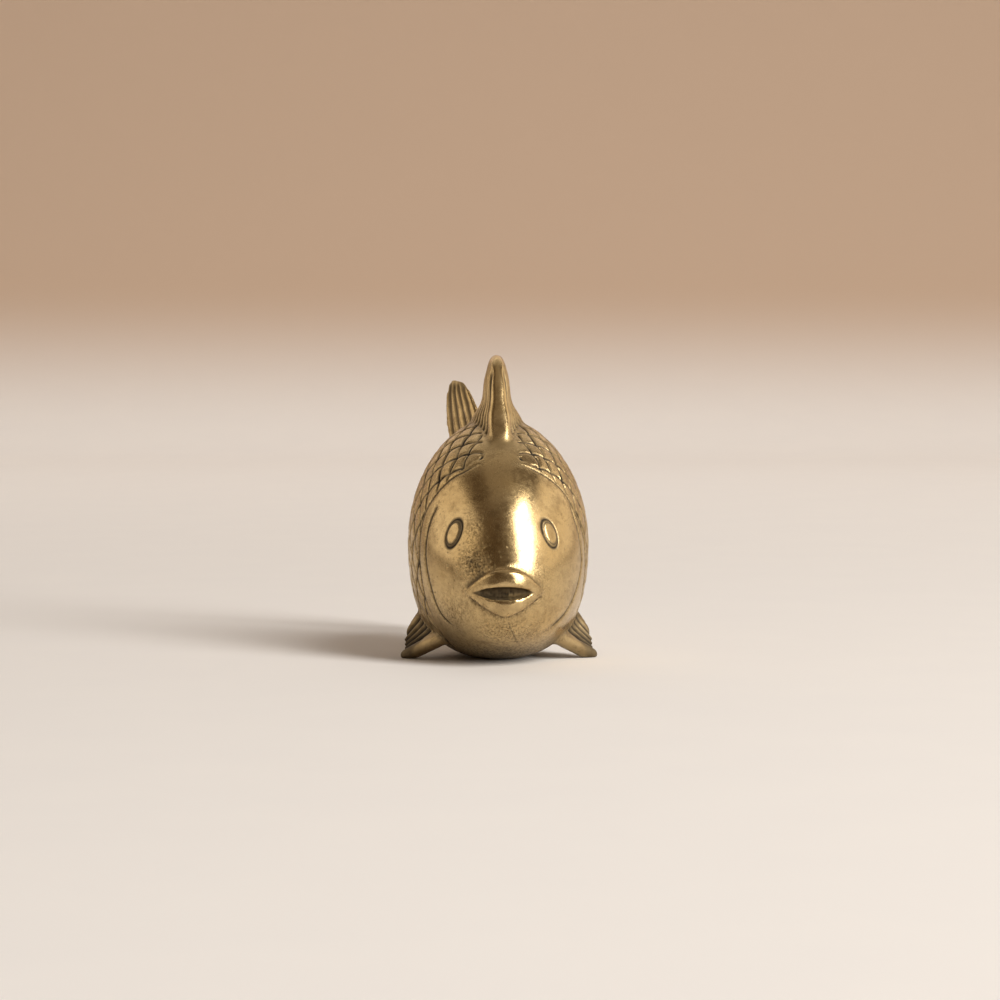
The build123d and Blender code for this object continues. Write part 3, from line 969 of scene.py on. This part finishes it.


# Antique cast brass: hand polished on the high places, brown to black oxide left in the cuts. The soil and
# oxide layers also carry painted shade near the floor and under the right cheek.
def antiqueBrass():
    material, tree, shader = newMaterial("antiqueCastBrass")
    place = addNode(tree, "ShaderNodeTexCoord").outputs["Object"]
    # These attributes carry soil and oxide together with painted shade, and a painted highlight in the mouth
    grime = addNode(tree, "ShaderNodeAttribute", {"attribute_name": "grime"}).outputs["Fac"]
    patinaAndPaintedLight = addNode(tree, "ShaderNodeAttribute", {"attribute_name": "patinaAndPaintedLight"}).outputs["Fac"]
    tone = noiseNode(tree, place, brass["toneSize"], 3)
    mottle = noiseNode(tree, place, brass["mottleSize"], 4, 0.6)
    stain = noiseNode(tree, place, brass["stainSize"], 5, 0.7)
    speck = noiseNode(tree, place, brass["soilSize"], 4, 0.65)
    soilAndShadeShare = addNode(tree, "ShaderNodeMath", {"operation": "MULTIPLY"}, {
        0: rangeNode(tree, speck, *brass["soilRange"]), 1: grime}).outputs["Value"]
    color = mixNode(tree, tone, hexColor(brass["deep"]), hexColor(brass["pale"]))
    for share, coat in ((rangeNode(tree, mottle, *brass["mottleRange"]), "stain"),
                        (rangeNode(tree, stain, *brass["stainRange"]), "stain"),
                        (soilAndShadeShare, "soil"), (patinaAndPaintedLight, "oxide")):
        color = mixNode(tree, share, color, hexColor(brass[coat]))
    rough = rangeNode(tree, stain, *brass["polish"])
    rough = rangeNode(tree, soilAndShadeShare, 0.0, 1.0, rough, brass["soilRough"])
    rough = rangeNode(tree, patinaAndPaintedLight, 0.0, 1.0, rough, brass["oxideRough"])
    metallic = rangeNode(tree, patinaAndPaintedLight, 0.0, 1.0, 1.0, brass["oxideMetal"])
    stretch = addNode(tree, "ShaderNodeMapping", inputs={"Vector": place, "Scale": brass["brushStretch"]})
    brush = noiseNode(tree, stretch.outputs["Vector"], brass["brushSize"], 2)
    strength, height = brass["brushBump"]
    bump = addNode(tree, "ShaderNodeBump", inputs={"Height": brush, "Strength": strength, "Distance": height})
    strength, height = brass["soilBump"]
    grain = addNode(tree, "ShaderNodeBump", {"invert": True}, {
        "Height": soilAndShadeShare, "Strength": strength, "Distance": height, "Normal": bump.outputs["Normal"]})
    for socket, value in (("Base Color", color), ("Roughness", rough), ("Metallic", metallic),
                          ("Normal", grain.outputs["Normal"])):
        tree.links.new(value, shader.inputs[socket])
    return material


# Pale floor that bends up into a wall behind
stage = {
    "floor": "#F2EFED",
    "fibre": "#F5F2EF",
    "fibreSize": 1 / 60,
    "wall": "#CBB19A",
    "wallFrom": 0.0,
    "wallFull": 0.07,
    "rough": 0.9,
    "reach": 1.4,
    "back": 0.7,
    "curve": 0.3,
    "bendSteps": 24,
    "rise": 1.2,
}


# Matt studio paper: even and pale, a little warmer as it rises
def studioPaper():
    material, tree, shader = newMaterial("paleStudioPaper")
    place = addNode(tree, "ShaderNodeTexCoord").outputs["Object"]
    fibre = noiseNode(tree, place, stage["fibreSize"], 2)
    tint = mixNode(tree, fibre, hexColor(stage["floor"]), hexColor(stage["fibre"]))
    height = addNode(tree, "ShaderNodeSeparateXYZ", inputs={"Vector": place}).outputs["Z"]
    upper = addNode(tree, "ShaderNodeMapRange", {"interpolation_type": "SMOOTHSTEP"}, {
        "Value": height, "From Min": stage["wallFrom"], "From Max": stage["wallFull"]})
    paper = mixNode(tree, upper.outputs["Result"], tint, hexColor(stage["wall"]))
    tree.links.new(paper, shader.inputs["Base Color"])
    shader.inputs["Roughness"].default_value = stage["rough"]
    return material


def studioFloor():
    bm = bmesh.new()
    front = bm.edges.new([bm.verts.new((side * stage["reach"], -stage["reach"], 0)) for side in (-1, 1)])
    run = bmesh.ops.extrude_edge_only(bm, edges=[front])["geom"]
    verts = onlyKind(run, bmesh.types.BMVert)
    bmesh.ops.translate(bm, vec=(0, stage["reach"] + stage["back"], 0), verts=verts)
    bend = bmesh.ops.spin(bm, geom=onlyKind(run, bmesh.types.BMEdge) + verts,
                          cent=(0, stage["back"], stage["curve"]), axis=(1, 0, 0), angle=math.radians(90),
                          steps=stage["bendSteps"], use_duplicate=False)["geom_last"]
    wall = bmesh.ops.extrude_edge_only(bm, edges=onlyKind(bend, bmesh.types.BMEdge))["geom"]
    bmesh.ops.translate(bm, vec=(0, 0, stage["rise"]), verts=onlyKind(wall, bmesh.types.BMVert))
    bmesh.ops.remove_doubles(bm, verts=bm.verts, dist=0.01 * mm)
    mesh = bpy.data.meshes.new("studioFloor")
    bm.to_mesh(mesh)
    bm.free()
    mesh.polygons.foreach_set("use_smooth", [True] * len(mesh.polygons))
    mesh.materials.append(studioPaper())
    newObject("studioFloor", mesh)


# Soft boxes: where each stands round the fish, its size and how bright it looks
lampAim = Vector((0, 0, 15 * mm))
lamps = {
    "window": {"azimuth": 48, "height": 31, "far": 1.0, "size": (0.36, 0.92), "glow": 12.3,
               "color": "#FFFCF7"},
    "behind": {"azimuth": 180, "height": 48, "far": 0.9, "size": (1.1, 1.1), "glow": 0.4, "color": "#FFFAF3"},
    "backdropWash": {"azimuth": 180, "height": 45, "far": 0.9, "size": (1.8, 0.7), "glow": 0.27,
                     "color": "#FFFAF3", "aim": (0, 0.62, 0), "spread": 90},
}

# Cards that only show in the metal
cardColor = "#FFF4E4"
cards = {
    "rightCard": {"azimuth": 97, "height": 24, "far": 0.6, "size": (0.62, 0.5), "glow": 1.0},
    "leftCard": {"azimuth": -88, "height": 26, "far": 0.6, "size": (0.75, 0.5), "glow": 0.9},
    "ceilingCard": {"azimuth": 0, "height": 84, "far": 0.8, "size": (0.5, 0.5), "glow": 0.18},
    "backLeftCard": {"azimuth": -140, "height": 20, "far": 0.8, "size": (0.5, 0.6), "glow": 0.25},
    "backRightCard": {"azimuth": 140, "height": 20, "far": 0.8, "size": (0.5, 0.6), "glow": 0.3},
}


def softBox(name, setting, isCard=False):
    light = bpy.data.lights.new(name, "AREA")
    light.shape = "RECTANGLE"
    light.size, light.size_y = setting["size"]
    light.energy = setting["glow"] * math.pi * light.size * light.size_y
    light.color = hexColor(setting.get("color", cardColor))[:3]
    light.spread = math.radians(setting.get("spread", 180))
    turn, rise = math.radians(setting["azimuth"]), math.radians(setting["height"])
    way = Vector((math.sin(turn) * math.cos(rise), -math.cos(turn) * math.cos(rise), math.sin(rise)))
    obj = bpy.data.objects.new(name, light)
    obj.visible_diffuse = not isCard
    obj.visible_camera = False
    obj.location = lampAim + way * setting["far"]
    back = obj.location - Vector(setting.get("aim", lampAim))
    obj.rotation_euler = back.to_track_quat("Z", "Y").to_euler()
    bpy.context.scene.collection.objects.link(obj)


room = {"color": "#6B5A48", "strength": 0.8}


def studioWorld():
    world = bpy.data.worlds.new("studio")
    bpy.context.scene.world = world
    world.use_nodes = True
    ground = world.node_tree.nodes["Background"]
    ground.inputs["Color"].default_value = hexColor(room["color"])
    ground.inputs["Strength"].default_value = room["strength"]


camera = {"azimuth": -3.0, "far": 396.5 * mm, "height": 40.6 * mm, "pitch": 2.862,
          "sensor": 36, "lens": 108, "shift": 0.0015, "nearest": 0.01}


def photoCamera():
    data = bpy.data.cameras.new("photoCamera")
    data.sensor_width = camera["sensor"]
    data.lens = camera["lens"]
    data.shift_x = camera["shift"]
    data.clip_start = camera["nearest"]
    obj = bpy.data.objects.new("photoCamera", data)
    turn = math.radians(camera["azimuth"])
    obj.location = (camera["far"] * math.sin(turn), -camera["far"] * math.cos(turn), camera["height"])
    obj.rotation_euler = (math.radians(90 - camera["pitch"]), 0, turn)
    bpy.context.scene.collection.objects.link(obj)
    bpy.context.scene.camera = obj


def pieceName(node):
    first, *rest = node.split("_")
    return first + "".join(word.title() for word in rest)


def dressFish():
    mesh, labels, dark, grime, eyePlaces = sculptedSkin()
    normals = readArray(mesh.vertex_normals, "vector", 3)
    mesh.attributes.new("restNormal", "FLOAT_VECTOR", "POINT").data.foreach_set("vector", normals.ravel())
    # The first layer holds oxide in the cuts, painted shade near the floor and under the right cheek, and a
    # painted highlight in the mouth; the second holds soil and painted shade near the floor
    mesh.attributes.new("patinaAndPaintedLight", "FLOAT", "POINT").data.foreach_set("value", dark.astype(np.float32))
    mesh.attributes.new("grime", "FLOAT", "POINT").data.foreach_set("value", grime.astype(np.float32))
    chosen = faceLabels(mesh, labels, eyePlaces)
    mesh.attributes.new("piece", "INT", "FACE").data.foreach_set("value", chosen.astype(np.int32))
    material = antiqueBrass()
    body = cutPiece(mesh, 0, castSkin["bodyCap"])
    finishPiece(halveBody(body, 1), "bodyLeftHalf", ["body_left_half"], material)
    finishPiece(halveBody(body, -1), "bodyRightHalf", ["body_right_half"], material)
    body.free()
    for index, node in enumerate(castSkin["finNodes"] + castSkin["eyeNodes"]):
        finishPiece(cutPiece(mesh, index + 1, castSkin["finCap"]), pieceName(node), [node], material)
    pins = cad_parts["seam_pins"].data
    pins.materials.clear()
    pins.materials.append(material)


photoCamera()
studioWorld()
for lampName, lampSetting in lamps.items():
    softBox(lampName, lampSetting)
for cardName, cardSetting in cards.items():
    softBox(cardName, cardSetting, isCard=True)
studioFloor()
dressFish()
bpy.context.scene.view_settings.view_transform = "Standard"
